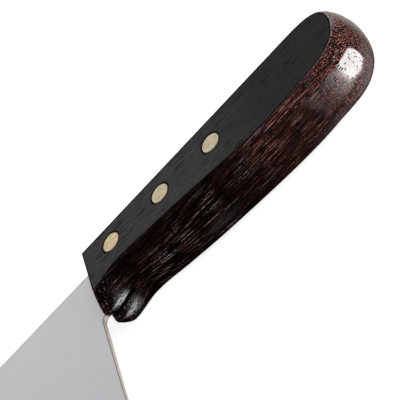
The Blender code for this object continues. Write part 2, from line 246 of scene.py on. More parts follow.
BLADE_HEIGHT = BLADE_BOX[1].y - BLADE_BOX[0].y
BLADE_TIP = BLADE_BOX[0].x - FLATS_FRONT
GRIP_CENTRE = FLATS_TOP - GRIP_CENTRE_DEPTH
HEEL = BLADE_TIP + BLADE_LENGTH


def add_node(tree, kind, inputs=None, **settings):
    """A new node with these inputs: a socket is linked and anything else is set."""
    made = tree.nodes.new(kind)
    for name, value in settings.items():
        setattr(made, name, value)
    for key, value in (inputs or {}).items():
        if isinstance(value, bpy.types.NodeSocket):
            tree.links.new(value, made.inputs[key])
        else:
            made.inputs[key].default_value = value
    return made


def calc(tree, operation, *values, clamp=False):
    inputs = dict(enumerate(values))
    return add_node(tree, "ShaderNodeMath", inputs, operation=operation, use_clamp=clamp).outputs[0]


def product(tree, first, *others):
    """Multiplies all of these."""
    for other in others:
        first = calc(tree, "MULTIPLY", first, other)
    return first


def without(tree, share, amount=1.0):
    """One, less this amount of a share."""
    return calc(tree, "MULTIPLY_ADD", share, -amount, 1.0)


def vector_calc(tree, operation, *values):
    """A calculation with vectors, as its node's outputs."""
    inputs = dict(enumerate(values))
    return add_node(tree, "ShaderNodeVectorMath", inputs, operation=operation).outputs


def split(tree, place):
    """A place's three measures: along the knife, towards its spine and up."""
    return tuple(add_node(tree, "ShaderNodeSeparateXYZ", {0: place}).outputs)


def ramp(tree, value, low, high, to_low=0.0, to_high=1.0):
    """Maps a value smoothly from one range to another."""
    inputs = {"Value": value, "From Min": low, "From Max": high, "To Min": to_low, "To Max": to_high}
    return add_node(tree, "ShaderNodeMapRange", inputs, interpolation_type="SMOOTHSTEP").outputs[0]


def feed(tree, socket, value):
    """Links or sets a socket; a colour is given as its three parts."""
    if isinstance(value, bpy.types.NodeSocket):
        tree.links.new(value, socket)
    elif isinstance(value, tuple):
        socket.default_value = (*value, 1.0)
    else:
        socket.default_value = value


def blend(tree, share, first, second):
    """Mixes two colours."""
    made = add_node(tree, "ShaderNodeMix", data_type="RGBA")
    for place, value in ((0, share), (6, first), (7, second)):
        feed(tree, made.inputs[place], value)
    return made.outputs[2]


def millimetres(tree):
    """The place on the knife, in millimetres."""
    place = add_node(tree, "ShaderNodeTexCoord").outputs["Object"]
    return vector_calc(tree, "MULTIPLY", place, (1 / MM, 1 / MM, 1 / MM))[0]


def stretched(tree, place, scale, offset=(0, 0, 0)):
    return vector_calc(tree, "MULTIPLY_ADD", place, scale, offset)[0]


def noise(tree, place, scale, offset=(0, 0, 0), detail=2.0, roughness=0.5):
    """Cloudy noise whose size runs as one over the scale, in millimetres."""
    inputs = {
        "Vector": stretched(tree, place, scale, offset),
        "Scale": 1.0,
        "Detail": detail,
        "Roughness": roughness,
    }
    return add_node(tree, "ShaderNodeTexNoise", inputs).outputs["Fac"]


def specks(tree, place, scale, offset, reach, share):
    """Specks, each in a cell of the stretched space, and a number drawn for each."""
    inputs = {"Vector": stretched(tree, place, scale, offset), "Scale": 1.0}
    cells = add_node(tree, "ShaderNodeTexVoronoi", inputs)
    drawn = add_node(tree, "ShaderNodeSeparateColor", {0: cells.outputs["Color"]}).outputs
    shape = ramp(tree, cells.outputs["Distance"], reach, reach * SPECK_CORE)
    kept = calc(tree, "LESS_THAN", drawn[0], share)
    return product(tree, shape, kept), drawn[1]


def new_material(name):
    made = bpy.data.materials.new(name)
    made.use_nodes = True
    return made, made.node_tree


def finished(material, **values):
    """The material, its shader's inputs set or linked; their spaces are written as underscores."""
    tree = material.node_tree
    for key, value in values.items():
        feed(tree, tree.nodes[SHADER].inputs[key.replace("_", " ")], value)
    return material


def show_sum(tree, first, second):
    """Makes a surface show two shaders added up."""
    both = add_node(tree, "ShaderNodeAddShader", {0: first.outputs[0], 1: second.outputs[0]})
    tree.links.new(both.outputs[0], tree.nodes["Material Output"].inputs["Surface"])


def bump(tree, height, strength, distance):
    inputs = {"Height": height, "Strength": strength, "Distance": distance}
    return add_node(tree, "ShaderNodeBump", inputs).outputs["Normal"]


def wavy_place(tree):
    """The place on the knife, bent a little across the grain."""
    place = millimetres(tree)
    inputs = {"Vector": stretched(tree, place, GRAIN_WAVES), "Scale": 1.0, "Detail": 1.0}
    sway = add_node(tree, "ShaderNodeTexNoise", inputs).outputs["Color"]
    return stretched(tree, sway, GRAIN_SWAY, place)


def round_place(tree, place):
    """The place by its length, its distance from the grip's middle line and its way round that."""
    along, height, level = split(tree, place)
    down = calc(tree, "SUBTRACT", GRIP_CENTRE / MM, height)
    across = calc(tree, "SUBTRACT", level, MIDDLE / MM)
    aside = add_node(tree, "ShaderNodeCombineXYZ", {1: down, 2: across}).outputs[0]
    distance = vector_calc(tree, "LENGTH", aside)["Value"]
    around = product(tree, calc(tree, "ARCTAN2", across, down), GRIP_RADIUS / MM)
    return add_node(tree, "ShaderNodeCombineXYZ", {0: along, 1: distance, 2: around}).outputs[0]


# Flecks: the stretch, place, size and share of each layer, and the two colours it lies between
Flecks = namedtuple("Flecks", "scale offset reach share dull bright")
GRIP_FLECKS = (
    Flecks(
        scale=(0.10, 0.2, 6.4), offset=(7.7, 2.9, 1.1), reach=0.36, share=0.75,
        dull=(0.012, 0.005, 0.004), bright=(0.26, 0.105, 0.088),
    ),
    Flecks(
        scale=(0.08, 0.2, 6.8), offset=(9.1, 5.7, 2.3), reach=0.36, share=0.4,
        dull=(0.02, 0.012, 0.010), bright=(0.52, 0.37, 0.33),
    ),
    Flecks(
        scale=(0.05, 0.15, 4.8), offset=(3.1, 0.7, 5.3), reach=0.27, share=0.18,
        dull=(0.12, 0.08, 0.07), bright=(0.85, 0.75, 0.71),
    ),
)
REAR_FLECKS = (
    Flecks(
        scale=(0.11, 0.25, 5.8), offset=(2.2, 8.9, 4.6), reach=0.38, share=0.9,
        dull=(0.11, 0.024, 0.018), bright=(0.90, 0.24, 0.19),
    ),
    Flecks(
        scale=(0.13, 0.25, 6.2), offset=(6.1, 1.8, 7.4), reach=0.38, share=0.8,
        dull=(0.12, 0.055, 0.050), bright=(0.72, 0.42, 0.39),
    ),
)
BEAK_FLECKS = (
    Flecks(
        scale=(0.9, 1.5, 1.5), offset=(8.2, 3.4, 5.8), reach=0.34, share=0.55,
        dull=(0.02, 0.009, 0.008), bright=(0.22, 0.13, 0.12),
    ),
    Flecks(
        scale=(1.2, 2.2, 2.2), offset=(2.2, 9.4, 1.8), reach=0.36, share=0.5,
        dull=(0.03, 0.012, 0.010), bright=(0.24, 0.10, 0.085),
    ),
)
BUTT_FLECKS = (
    Flecks(
        scale=(0.9, 3.0, 3.0), offset=(5.2, 6.4, 8.8), reach=0.42, share=0.85,
        dull=(0.42, 0.09, 0.065), bright=(1.0, 0.32, 0.23),
    ),
    Flecks(
        scale=(1.1, 3.4, 3.4), offset=(1.2, 4.4, 6.8), reach=0.40, share=0.6,
        dull=(0.22, 0.075, 0.062), bright=(0.70, 0.42, 0.38),
    ),
)


def varnished_wood():
    """Near-black open-pored rosewood under satin varnish, with red-brown flecks along the grain."""
    material, tree = new_material("varnished_rosewood")
    place = wavy_place(tree)
    rounded = round_place(tree, place)
    along, _, level = split(tree, millimetres(tree))
    rear = ramp(tree, along, *REAR_ZONE)
    butt = ramp(tree, along, *BUTT_ZONE)
    beak = ramp(tree, along, *BEAK_ZONE)
    from_middle = calc(tree, "ABSOLUTE", calc(tree, "SUBTRACT", level, MIDDLE / MM))
    by_flats = product(tree, ramp(tree, from_middle, *BY_FLATS), without(tree, rear))
    clouds = noise(tree, rounded, (0.03, 0.1, 0.20))
    density = calc(tree, "MAXIMUM", ramp(tree, clouds, 0.32, 0.58, 0.6, 1.0), rear)
    density = product(tree, density, without(tree, by_flats, 0.7))
    beads = noise(tree, rounded, (1.2, 0.3, 4.6), (4.0, 1.0, 9.0))
    beads = ramp(tree, beads, 0.40, 0.56, 0.12, 1.0)
    threads = noise(tree, rounded, (0.20, 0.3, 4.4), detail=3.0, roughness=0.7)
    dark = blend(tree, rear, (0.0020, 0.0012, 0.0012), (0.007, 0.0025, 0.0023))
    light = blend(tree, rear, (0.008, 0.004, 0.0035), (0.055, 0.021, 0.018))
    colour = blend(tree, ramp(tree, threads, 0.45, 0.65), dark, light)
    grip = product(tree, density, beads, without(tree, calc(tree, "ADD", butt, beak)))
    for layers, weight, around in (
        (GRIP_FLECKS, product(tree, grip, without(tree, rear)), rounded),
        (REAR_FLECKS, product(tree, grip, rear), rounded),
        (BEAK_FLECKS, beak, place),
        (BUTT_FLECKS, butt, place),
    ):
        for layer in layers:
            flecks, tint = specks(tree, around, layer.scale, layer.offset, layer.reach, layer.share)
            fleck_colour = blend(tree, tint, layer.dull, layer.bright)
            colour = blend(tree, product(tree, flecks, weight), colour, fleck_colour)
    pores, _ = specks(tree, place, (0.34, 1.7, 1.7), (1.3, 8.1, 4.4), 0.33, 0.7)
    height = calc(tree, "SUBTRACT", product(tree, threads, 0.12), pores)
    height = product(tree, height, without(tree, by_flats, 0.9))
    pits = noise(tree, place, (1.3, 1.8, 1.8), (6.0, 3.0, 2.0), detail=3.0, roughness=0.7)
    pitted = ramp(tree, along, *PITTED_ZONE, 0.0, PIT_STRENGTH)
    height = calc(tree, "MULTIPLY_ADD", pits, pitted, height)
    relief = bump(tree, height, 0.6, PORE_DEPTH)
    roughness = ramp(tree, threads, 0.3, 0.7, 0.30, 0.42)
    by_slit = product(tree, ramp(tree, from_middle, *BY_SLIT, *SLIT_VARNISH), beak)
    varnish = calc(tree, "MAXIMUM", by_slit, ramp(tree, along, *VARNISHED_ZONE, GRIP_VARNISH, 1.0))
    return finished(
        material,
        Base_Color=blend(tree, pores, colour, (0.002, 0.001, 0.001)),
        Roughness=calc(tree, "MULTIPLY_ADD", by_flats, -0.24, roughness),
        Specular_IOR_Level=0.0,
        Coat_Weight=product(tree, varnish, without(tree, pores, 0.9)),
        Coat_IOR=1.8,
        Coat_Roughness=0.08,
        Normal=relief,
        Coat_Normal=relief,
    )


def beyond_rivets(tree, place):
    """How far the place is from the nearest rivet's rim, in millimetres."""
    nearest = None
    for centre in RIVET_CENTRES:
        aside = stretched(tree, place, (1.0, 1.0, 0.0), (-centre.x / MM, -centre.y / MM, 0.0))
        reach = vector_calc(tree, "LENGTH", aside)["Value"]
        nearest = calc(tree, "MINIMUM", nearest, reach) if nearest else reach
    return calc(tree, "SUBTRACT", nearest, HEAD_RADIUS / MM)


def ground_wood():
    """The flats, ground matte across the pores: dark grey with fine darker streaks, and painted shade that
    darkens them towards the rear.
    """
    material, tree = new_material("ground_rosewood")
    place = wavy_place(tree)
    true_place = millimetres(tree)
    along = split(tree, true_place)[0]
    clouds = noise(tree, place, (0.02, 0.12, 0.12), detail=3.0)
    threads = noise(tree, place, (0.07, 2.0, 2.0), detail=4.0, roughness=0.75)
    streaks, _ = specks(tree, place, (0.12, 1.5, 0.5), (2.3, 4.1, 9.2), 0.36, 0.45)
    fine, _ = specks(tree, place, (0.28, 2.4, 0.8), (6.3, 1.7, 3.6), 0.38, 0.5)
    wear = ramp(tree, threads, 0.33, 0.67)
    front = blend(tree, wear, (0.020, 0.019, 0.021), (0.052, 0.050, 0.055))
    front = blend(tree, ramp(tree, clouds, 0.45, 0.70, 0.0, 0.5), front, (0.042, 0.031, 0.032))
    # painted shade: the flats' colour darkens towards the rear
    rear = blend(tree, wear, (0.001, 0.0009, 0.001), (0.016, 0.014, 0.016))
    tone = blend(tree, ramp(tree, along, *FLATS_SHADE_ZONE, 0.0, 0.85), front, rear)
    lines = calc(tree, "MAXIMUM", streaks, product(tree, fine, 0.7))
    # darker in a ring round each rivet's rim
    rivet_ring_dark = ramp(tree, beyond_rivets(tree, true_place), *RIVET_RING_REACH, 0.0, 0.7)
    dark = calc(tree, "MAXIMUM", product(tree, lines, 0.95), rivet_ring_dark)
    height = calc(tree, "SUBTRACT", product(tree, threads, 0.7), lines)
    roughness = ramp(tree, threads, 0.3, 0.7, 0.50, 0.66)
    return finished(
        material,
        Base_Color=blend(tree, dark, tone, (0.002, 0.0015, 0.002)),
        Roughness=calc(tree, "MULTIPLY_ADD", dark, 0.25, roughness),
        Specular_IOR_Level=0.1,
        Normal=bump(tree, height, 0.8, PORE_DEPTH),
    )


def shaded_edge_wood():
    """The flats' broken edges, painted almost black as shade along the flats' rims."""
    material, tree = new_material("painted_shade_edge")
    marks = noise(tree, millimetres(tree), (0.3, 2.0, 2.0), detail=3.0)
    return finished(
        material,
        # painted shade: the eased edges are coloured almost black
        Base_Color=blend(tree, marks, (0.001, 0.001, 0.001), (0.006, 0.004, 0.004)),
        Roughness=0.7,
        Specular_IOR_Level=0.08,
        Normal=bump(tree, marks, 0.3, EDGE_GRAIN_DEPTH),
    )


def sawn_wood():
    """The end-grain walls of the slot and the slit, left dark and rough."""
    material, tree = new_material("sawn_rosewood")
    marks = noise(tree, millimetres(tree), (1.4, 1.4, 0.4), detail=3.0)
    return finished(
        material,
        Base_Color=blend(tree, marks, (0.001, 0.001, 0.001), (0.005, 0.003, 0.003)),
        Roughness=0.9,
        Specular_IOR_Level=0.05,
        Normal=bump(tree, marks, 0.4, SAW_MARK_DEPTH),
    )


def satin_steel():
    """The blade's sides, ground in very fine lines from the spine to the edge, with painted shade in a
    thin band just below the spine.
    """
    material, tree = new_material("satin_steel")
    place = millimetres(tree)
    lines = noise(tree, place, (7.0, 0.05, 7.0), detail=3.0, roughness=0.7)
    broad = noise(tree, place, (0.9, 0.02, 0.9), (5.0, 1.0, 2.0))
    clouds = noise(tree, place, (0.02, 0.02, 0.02))
    tone = blend(tree, ramp(tree, lines, 0.3, 0.7), (0.595, 0.582, 0.610), (0.625, 0.612, 0.640))
    tint = blend(tree, ramp(tree, clouds, 0.4, 0.65, 0.0, 0.5), tone, (0.615, 0.590, 0.600))
    shade = calc(tree, "MULTIPLY_ADD", lines, 0.10, product(tree, broad, 0.06))
    # painted shade: the sides darken in a thin band just below the spine
    below_spine = calc(tree, "SUBTRACT", BLADE_BOX[1].y / MM, split(tree, place)[1])
    spine_shade_mask = ramp(tree, below_spine, *SPINE_SHADE, 0.0, 0.75)
    tint = blend(tree, spine_shade_mask, tint, (0.12, 0.12, 0.13))
    return finished(
        material,
        Base_Color=tint,
        Metallic=0.5,
        Roughness=calc(tree, "ADD", shade, 0.30),
        Normal=bump(tree, lines, 0.06, SCRATCH_DEPTH),
    )


def polished_steel():
    """The spine, the heel and the ground edge, brighter than the sides, partly for their polish and partly
    as a painted highlight, and painted near black as shade inside the slit.
    """
    material, tree = new_material("polished_steel")
    place = millimetres(tree)
    lines = noise(tree, place, (0.3, 0.3, 9.0), detail=3.0)
    along, height, _ = split(tree, place)
    # painted shade: the steel inside the handle's slit turns near black
    front = (FLATS_FRONT - BEAK_NOSE) / MM
    over_neck = (FLATS_TOP - NECK_DEPTH) / MM + SLIT_SHADE_WIDTH
    behind_beak = ramp(tree, along, front, front + SLIT_SHADE_WIDTH)
    below = ramp(tree, height, over_neck + SLIT_SHADE_WIDTH, over_neck)
    shaded_in_slit = product(tree, behind_beak, below)
    # partly polish and partly a painted highlight: the ground faces' light colour
    bright = blend(tree, lines, (0.78, 0.69, 0.63), (0.87, 0.78, 0.71))
    return finished(
        material,
        Base_Color=blend(tree, shaded_in_slit, bright, (0.01, 0.01, 0.01)),
        Metallic=0.12,
        Specular_IOR_Level=0.3,
        Roughness=calc(tree, "MULTIPLY_ADD", shaded_in_slit, 0.4, ramp(tree, lines, 0.3, 0.7, 0.36, 0.46)),
        Normal=bump(tree, lines, 0.15, SCRATCH_DEPTH),
    )


def painted_shade_corner_steel():
    """The blade's broken corners, painted darker than the faces on either side: painted shade along the
    corners.
    """
    material, tree = new_material("painted_shade_corner_steel")
    marks = noise(tree, millimetres(tree), (1.5, 1.5, 1.5))
    return finished(
        material,
        # painted shade: the corners' steel is coloured dark grey
        Base_Color=blend(tree, marks, (0.08, 0.078, 0.08), (0.15, 0.145, 0.145)),
        Metallic=0.6,
        Roughness=0.4,
        Normal=bump(tree, marks, 0.1, SCRATCH_DEPTH),
    )


def matte_brass():
    """The rivets, ground flush with the wood, with fine scratches along the handle."""
    material, tree = new_material("matte_brass")
    place = millimetres(tree)
    scratches = noise(tree, place, (0.6, 3.2, 3.2), detail=4.0, roughness=0.8)
    clouds = noise(tree, place, (0.5, 0.5, 0.5))
    greyer = ramp(tree, split(tree, place)[0], *BRASS_TURNS)
    dull = blend(tree, greyer, (0.52, 0.36, 0.17), (0.41, 0.33, 0.22))
    fresh = blend(tree, greyer, (0.97, 0.77, 0.46), (0.84, 0.71, 0.50))
    tone = blend(tree, ramp(tree, scratches, 0.38, 0.62), dull, fresh)
    return finished(
        material,
        Base_Color=blend(tree, ramp(tree, clouds, 0.4, 0.7, 0.0, 0.45), tone, (0.66, 0.55, 0.40)),
        Metallic=0.55,
        Roughness=ramp(tree, scratches, 0.3, 0.7, 0.40, 0.52),
        Normal=bump(tree, scratches, 0.2, BRASS_SCRATCH_DEPTH),
    )


def to_object(name, solid, *finishes):
    """Makes a shape into an object with these materials."""
    mesh = bpy.data.meshes.new(name)
    solid.to_mesh(mesh)
    solid.free()
    for finish in finishes:
        mesh.materials.append(finish)
    made = bpy.data.objects.new(name, mesh)
    bpy.context.scene.collection.objects.link(made)
    return made


def carve(obj, cutters):
    """Cuts each cutter out of an object for good, and removes the cutters."""
    for cutter in cutters:
        change = obj.modifiers.new(cutter.name, "BOOLEAN")
        change.operation = "DIFFERENCE"
        change.solver = "EXACT"
        change.object = cutter
    graph = bpy.context.evaluated_depsgraph_get()
    mesh = bpy.data.meshes.new_from_object(obj.evaluated_get(graph))
    obj.modifiers.clear()
    obj.data = mesh
    for cutter in cutters:
        bpy.data.objects.remove(cutter)


def sharpen(obj, degrees):
    """Shades an object smooth but for its corners and the borders between its finishes."""
    solid = bmesh.new()
    solid.from_mesh(obj.data)
    for face in solid.faces:
        face.smooth = True
    for edge in solid.edges:
        sides = edge.link_faces
        border = len(sides) == 2 and sides[0].material_index != sides[1].material_index
        edge.smooth = not border and edge.calc_face_angle(0) < math.radians(degrees)
    solid.to_mesh(obj.data)
    solid.free()


def install(obj, node):
    """Moves a finished piece from its outline's origin to its place, instead of a CAD node."""
    obj.data.transform(Matrix.Translation(OUTLINE_ORIGIN))
    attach(obj, "root")
    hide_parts(node)


def arc(centre, radius, start, end, steps=ARC_STEPS):
    angles = [math.radians(start + (end - start) * i / steps) for i in range(steps + 1)]
    return [(centre[0] + radius * math.cos(a), centre[1] + radius * math.sin(a)) for a in angles]


Anchor = namedtuple(
    "Anchor",
    "flat middle turn roundness flat_reach middle_reach",
    defaults=(CURVE_REACH, CURVE_REACH),
)


def handle_anchors():
    """The outlines' turning points, clockwise from the top front."""
    butt_top = FLAT_LENGTH - BUTT_TOP_BACK
    corner = FLAT_LENGTH - BUTT_CORNER_BACK
    beak = -BEAK_FLAT - BEAK_BULGE
    anchors = [
        Anchor((0, 0), (-NOSE, TOP_CROWN), "corner", BUTT_ROUNDNESS),
        Anchor((TANG_END, 0), (TANG_END, TOP_CROWN), "level", BUTT_ROUNDNESS),
        Anchor(
            (butt_top, 0),
            (butt_top - BUTT_TOP_LEAD, BUTT_CROWN),
            "level",
            BUTT_ROUNDNESS,
            FLAT_BUTT_REACH,
            MIDDLE_BUTT_REACH,
        ),
        Anchor(
            (FLAT_LENGTH, -BUTT_END_FLAT),
            (FLAT_LENGTH + BUTT_BULGE, -BUTT_END_FLAT - BUTT_END_DROP),
            "upright",
            BUTT_ROUNDNESS,
        ),
        Anchor(
            (corner, -BUTT_CORNER_FLAT),
            (corner + BUTT_CORNER_LEAD, -BUTT_CORNER_FLAT - BUTT_CORNER_BULGE),
            "smooth",
            BUTT_ROUNDNESS,
        ),
    ]
    between = (GRIP_ROUNDNESS + BUTT_ROUNDNESS) / 2
    for at, depth, bulge, turn, roundness in (
        (FLAT_LENGTH - HEEL_OF_HAND_BACK, HEEL_OF_HAND_FLAT, HEEL_OF_HAND_BULGE, "smooth", BUTT_ROUNDNESS),
        (FLAT_LENGTH - PALM_REAR_BACK, PALM_REAR_FLAT, PALM_REAR_BULGE, "smooth", between),
        (PALM_AT, PALM_FLAT, PALM_BULGE, "smooth", GRIP_ROUNDNESS),
        (PALM_FRONT_AT, PALM_FRONT_FLAT, PALM_FRONT_BULGE, "smooth", GRIP_ROUNDNESS),
        (NOTCH_AT, NOTCH_FLAT, NOTCH_BULGE, "level", NOTCH_ROUNDNESS),
    ):
        anchors.append(Anchor((at, -depth), (at, -depth - bulge), turn, roundness))
    under = Anchor(
        (BEAK_FLAT_RADIUS, -BEAK_FLAT),
        (-BEAK_NOSE + BEAK_TIP_RADIUS, beak),
        "smooth",
        BEAK_ROUNDNESS,
    )
    front = Anchor(
        (0, -BEAK_FLAT + BEAK_FLAT_RADIUS),
        (-BEAK_NOSE, beak + BEAK_TIP_RADIUS),
        "upright",
        BEAK_ROUNDNESS,
    )
    return anchors + [under, front]


def smooth_outline(points, turns, reaches):
    """Points along a smooth closed line through these, straight on its last stretch."""
    directions = []
    for i, turn in enumerate(turns):
        if turn == "corner":
            directions.append(None)
            continue
        along = points[(i + 1) % len(points)] - points[i - 1]
        if turn == "level":
            along.y = 0
        if turn == "upright":
            along.x = 0
        directions.append(along.normalized())
    outline = []
    for i in range(len(points) - 1):
        start, end = points[i], points[i + 1]
        reach = (end - start).length * reaches[i]
        out_of = start + directions[i] * reach if directions[i] else None
        into = end - directions[i + 1] * reach if directions[i + 1] else None
        out_of = out_of or (start + into) / 2
        into = into or (end + out_of) / 2
        for step in range(OUTLINE_STEPS):
            t = step / OUTLINE_STEPS
            outline.append(
                start * (1 - t) ** 3
                + out_of * 3 * t * (1 - t) ** 2
                + into * 3 * t**2 * (1 - t)
                + end * t**3
            )
    outline += [points[-1].lerp(points[0], step / OUTLINE_STEPS) for step in range(OUTLINE_STEPS)]
    return outline


def inset(outline, width):
    """The same outline, this far inside, for one that runs clockwise."""
    moved = []
    for i, point in enumerate(outline):
        before = (point - outline[i - 1]).normalized()
        after = (outline[(i + 1) % len(outline)] - point).normalized()
        inward = Vector((before.y + after.y, -before.x - after.x)).normalized()
        share = inward.dot(Vector((after.y, -after.x)))
        moved.append(point + inward * width / share)
    return moved


def fading(distance):
    """Falls smoothly from 1 at no distance to 0 at a distance of 1."""
    return max(1 - distance**2, 0.0) ** 2


def handle_surface():
    """Each layer's points, from one flat through the middle to the other."""
    anchors = handle_anchors()
    turns = [anchor.turn for anchor in anchors]
    flat = smooth_outline([Vector(a.flat) for a in anchors], turns, [a.flat_reach for a in anchors])
    middle = smooth_outline([Vector(a.middle) for a in anchors], turns, [a.middle_reach for a in anchors])
    tip = len(anchors) - 1.5  # the beak's, halfway between the last two turning points
    layers = []
    for step in range(2 * SECTION_STEPS + 1):
        across = -math.cos(math.pi / 2 * step / SECTION_STEPS)
        ahead = 1 - abs(across) ** NOSE_ROUNDNESS
        beside_cut = fading(abs(across) * MIDDLE / CLEFT_REACH)
        layer = []
        for i, (side, centre) in enumerate(zip(flat, middle)):
            stretch, share = divmod(i / OUTLINE_STEPS, 1)
            before = anchors[int(stretch)].roundness
            after = anchors[(int(stretch) + 1) % len(anchors)].roundness
            power = before + (after - before) * share
            out = max(1 - abs(across) ** power, 0.0) ** (1 / power)
            along = ahead if centre.x < side.x else out
            cleft = CLEFT_DEPTH * beside_cut * fading((i / OUTLINE_STEPS - tip) / CLEFT_SPREAD)
            x = side.x + (centre.x - side.x) * along + cleft
            y = side.y + (centre.y - side.y) * out + cleft
            drop = MIDDLE * (1 - abs(across))
            fall = CREASE_SLOPE * (centre - side).length * out
            drop = (drop**CREASE_SHARPNESS + fall**CREASE_SHARPNESS) ** (1 / CREASE_SHARPNESS)
            level = MIDDLE + math.copysign(max(MIDDLE - drop, 0.0), across)
            layer.append(Vector((x, y, level)))
        layers.append(layer)
    return flat, layers


def handle_shape(*finishes):
    """The handle before it is cut, with its flats' edges eased."""
    flat, layers = handle_surface()
    eased = inset(flat, EASED_WIDTH)
    solid = bmesh.new()
    rings = []
    for layer, level, depth in ((layers[0], 0, EASED_DEPTH), (layers[-1], THICKNESS, -EASED_DEPTH)):
        for point in layer:
            point.z = level + depth
    lower_face = [solid.verts.new((p.x, p.y, 0)) for p in eased]
    rings.append(lower_face)
    for layer in layers:
        rings.append([solid.verts.new(point) for point in layer])
    upper_face = [solid.verts.new((p.x, p.y, THICKNESS)) for p in eased]
    rings.append(upper_face)
    for lower, upper in zip(rings, rings[1:]):
        edge_ring = lower is lower_face or upper is upper_face
        for i in range(len(flat)):
            j = (i + 1) % len(flat)
            face = solid.faces.new((lower[i], upper[i], upper[j], lower[j]))
            face.material_index = EDGE_WOOD if edge_ring else ROUND_WOOD
    solid.faces.new(lower_face).material_index = FLAT_WOOD
    solid.faces.new(list(reversed(upper_face))).material_index = FLAT_WOOD
    bmesh.ops.remove_doubles(solid, verts=solid.verts, dist=WELD)
    bmesh.ops.recalc_face_normals(solid, faces=solid.faces)
    return to_object("wood_handle", solid, *finishes)


def prism(name, outline, low, high, *finishes):
    """A straight-sided solid over an outline."""
    solid = bmesh.new()
    bottom = [solid.verts.new((x, y, low)) for x, y in outline]
    top = [solid.verts.new((x, y, high)) for x, y in outline]
    for i in range(len(outline)):
        j = (i + 1) % len(outline)
        solid.faces.new((bottom[i], bottom[j], top[j], top[i]))
    solid.faces.new(bottom)
    solid.faces.new(top)
    bmesh.ops.recalc_face_normals(solid, faces=solid.faces)
    return to_object(name, solid, *finishes)


def turned(name, profile, centre, *finishes):
    """A closed round solid from its profile of radii and levels, which starts and ends on its axis."""
    solid = bmesh.new()
    rings = []
    for radius, level in profile:
        if radius == 0:
            rings.append([solid.verts.new((centre[0], centre[1], level))])
            continue
        circle = arc(centre, radius, 0, 360, ROUND_SEGMENTS)[:-1]
        rings.append([solid.verts.new((x, y, level)) for x, y in circle])
    for first, second in zip(rings, rings[1:]):
        for i in range(ROUND_SEGMENTS):
            j = (i + 1) % ROUND_SEGMENTS
            places = ((first, i), (first, j), (second, j), (second, i))
            corners = [ring[k % len(ring)] for ring, k in places]
            solid.faces.new(list(dict.fromkeys(corners)))
    bmesh.ops.recalc_face_normals(solid, faces=solid.faces)
    return to_object(name, solid, *finishes)


def tang_outline(gap):
    """From the neck round the tang to the spine, this gap outside the steel."""
    tail = TANG_END + gap
    low = -LAST_RIVET_DEPTH - TANG_MARGIN - gap
    neck = -NECK_DEPTH - gap
    fillet = NECK_FILLET - gap
    lower_front = HEEL + NECK_FILLET + NECK_LENGTH
    radius = TANG_CORNER_RADIUS + gap
    points = arc((HEEL + NECK_FILLET, neck - fillet), fillet, 180, 90)
    points.append((lower_front, neck))
    points.append((lower_front + TANG_STEP, neck + TANG_STEP))
    points += arc((tail - radius, low + radius), radius, 270, 360)
    return points


def blade_outline():
    """The steel's outline down to the ground edge, and where the ground stretch starts in it."""
    lowest = HEEL - EDGE_LOW_BACK
    floor = TOP_CROWN - BLADE_HEIGHT + EDGE_BEVEL_HEIGHT
    edge = []
    for step in range(EDGE_STEPS + 1):
        start = BLADE_TIP + EDGE_CORNER_RADIUS
        x = start + (HEEL - start) * step / EDGE_STEPS
        end, rise = (HEEL, EDGE_RISE_AT_HEEL) if x > lowest else (BLADE_TIP, EDGE_RISE_AT_FRONT)
        edge.append((x, floor + rise * ((x - lowest) / (end - lowest)) ** 2))
    points = tang_outline(0)
    points.append((points[-1][0], TOP_CROWN))
    spine_corner = (BLADE_TIP + SPINE_CORNER_RADIUS, TOP_CROWN - SPINE_CORNER_RADIUS)
    points += arc(spine_corner, SPINE_CORNER_RADIUS, 90, 180)
    corner = (edge[0][0], edge[0][1] + EDGE_CORNER_RADIUS)
    points += arc(corner, EDGE_CORNER_RADIUS, 180, 180 + GROUND_FROM)
    ground_start = len(points) - 1
    points += arc(corner, EDGE_CORNER_RADIUS, 180 + GROUND_FROM, 270)[1:]
    return points + edge[1:], ground_start


def half_wall(y):
    """Half the blade's thickness at this height: it thins from the spine to the edge."""
    share = (TOP_CROWN - y) / BLADE_HEIGHT
    return (SPINE_THICKNESS + (SHOULDER_THICKNESS - SPINE_THICKNESS) * share) / 2


def blade_shape(*finishes):
    """The blade, neck and tang, their corners broken and the cutting edge ground."""
    outline, ground_start = blade_outline()
    solid = bmesh.new()
    loops = {}
    for side in (-1, 1):
        loops[side] = [solid.verts.new((x, y, MIDDLE + side * half_wall(y))) for x, y in outline]
    edges = {}
    for side in (-1, 1):
        edges[side] = [
            solid.verts.new((x, y - EDGE_BEVEL_HEIGHT, MIDDLE + side * EDGE_THICKNESS / 2))
            for x, y in outline[ground_start:]
        ]
    sides = [solid.faces.new(loops[-1]), solid.faces.new(list(reversed(loops[1])))]
    rims = []
    for i in range(ground_start):
        rims.append(solid.faces.new((loops[-1][i], loops[1][i], loops[1][i + 1], loops[-1][i + 1])))
    low, high = edges[-1], edges[1]
    for k in range(len(low) - 1):
        i = ground_start + k
        for face in (
            (loops[-1][i], loops[-1][i + 1], low[k + 1], low[k]),
            (loops[1][i], loops[1][i + 1], high[k + 1], high[k]),
            (low[k], low[k + 1], high[k + 1], high[k]),
        ):
            solid.faces.new(face).material_index = GROUND_STEEL
    first, last = loops[-1][ground_start], loops[1][ground_start]
    rims.append(solid.faces.new((first, last, high[0], low[0])))
    rims.append(
        solid.faces.new((loops[-1][-1], low[-1], high[-1], loops[1][-1], loops[1][0], loops[-1][0]))
    )
    for finish, faces in ((SIDE_STEEL, sides), (RIM_STEEL, rims)):
        for face in faces:
            face.material_index = finish
    bmesh.ops.recalc_face_normals(solid, faces=solid.faces)
    corners = [
        edge
        for edge in solid.edges
        if {face in sides for face in edge.link_faces} == {True, False}
        and any(face in rims for face in edge.link_faces)
    ]
    bmesh.ops.bevel(
        solid,
        geom=corners,
        offset=STEEL_BEVEL,
        segments=2,
        profile=0.5,
        affect="EDGES",
        material=CORNER_STEEL,
    )
    return to_object("steel_blade", solid, *finishes)


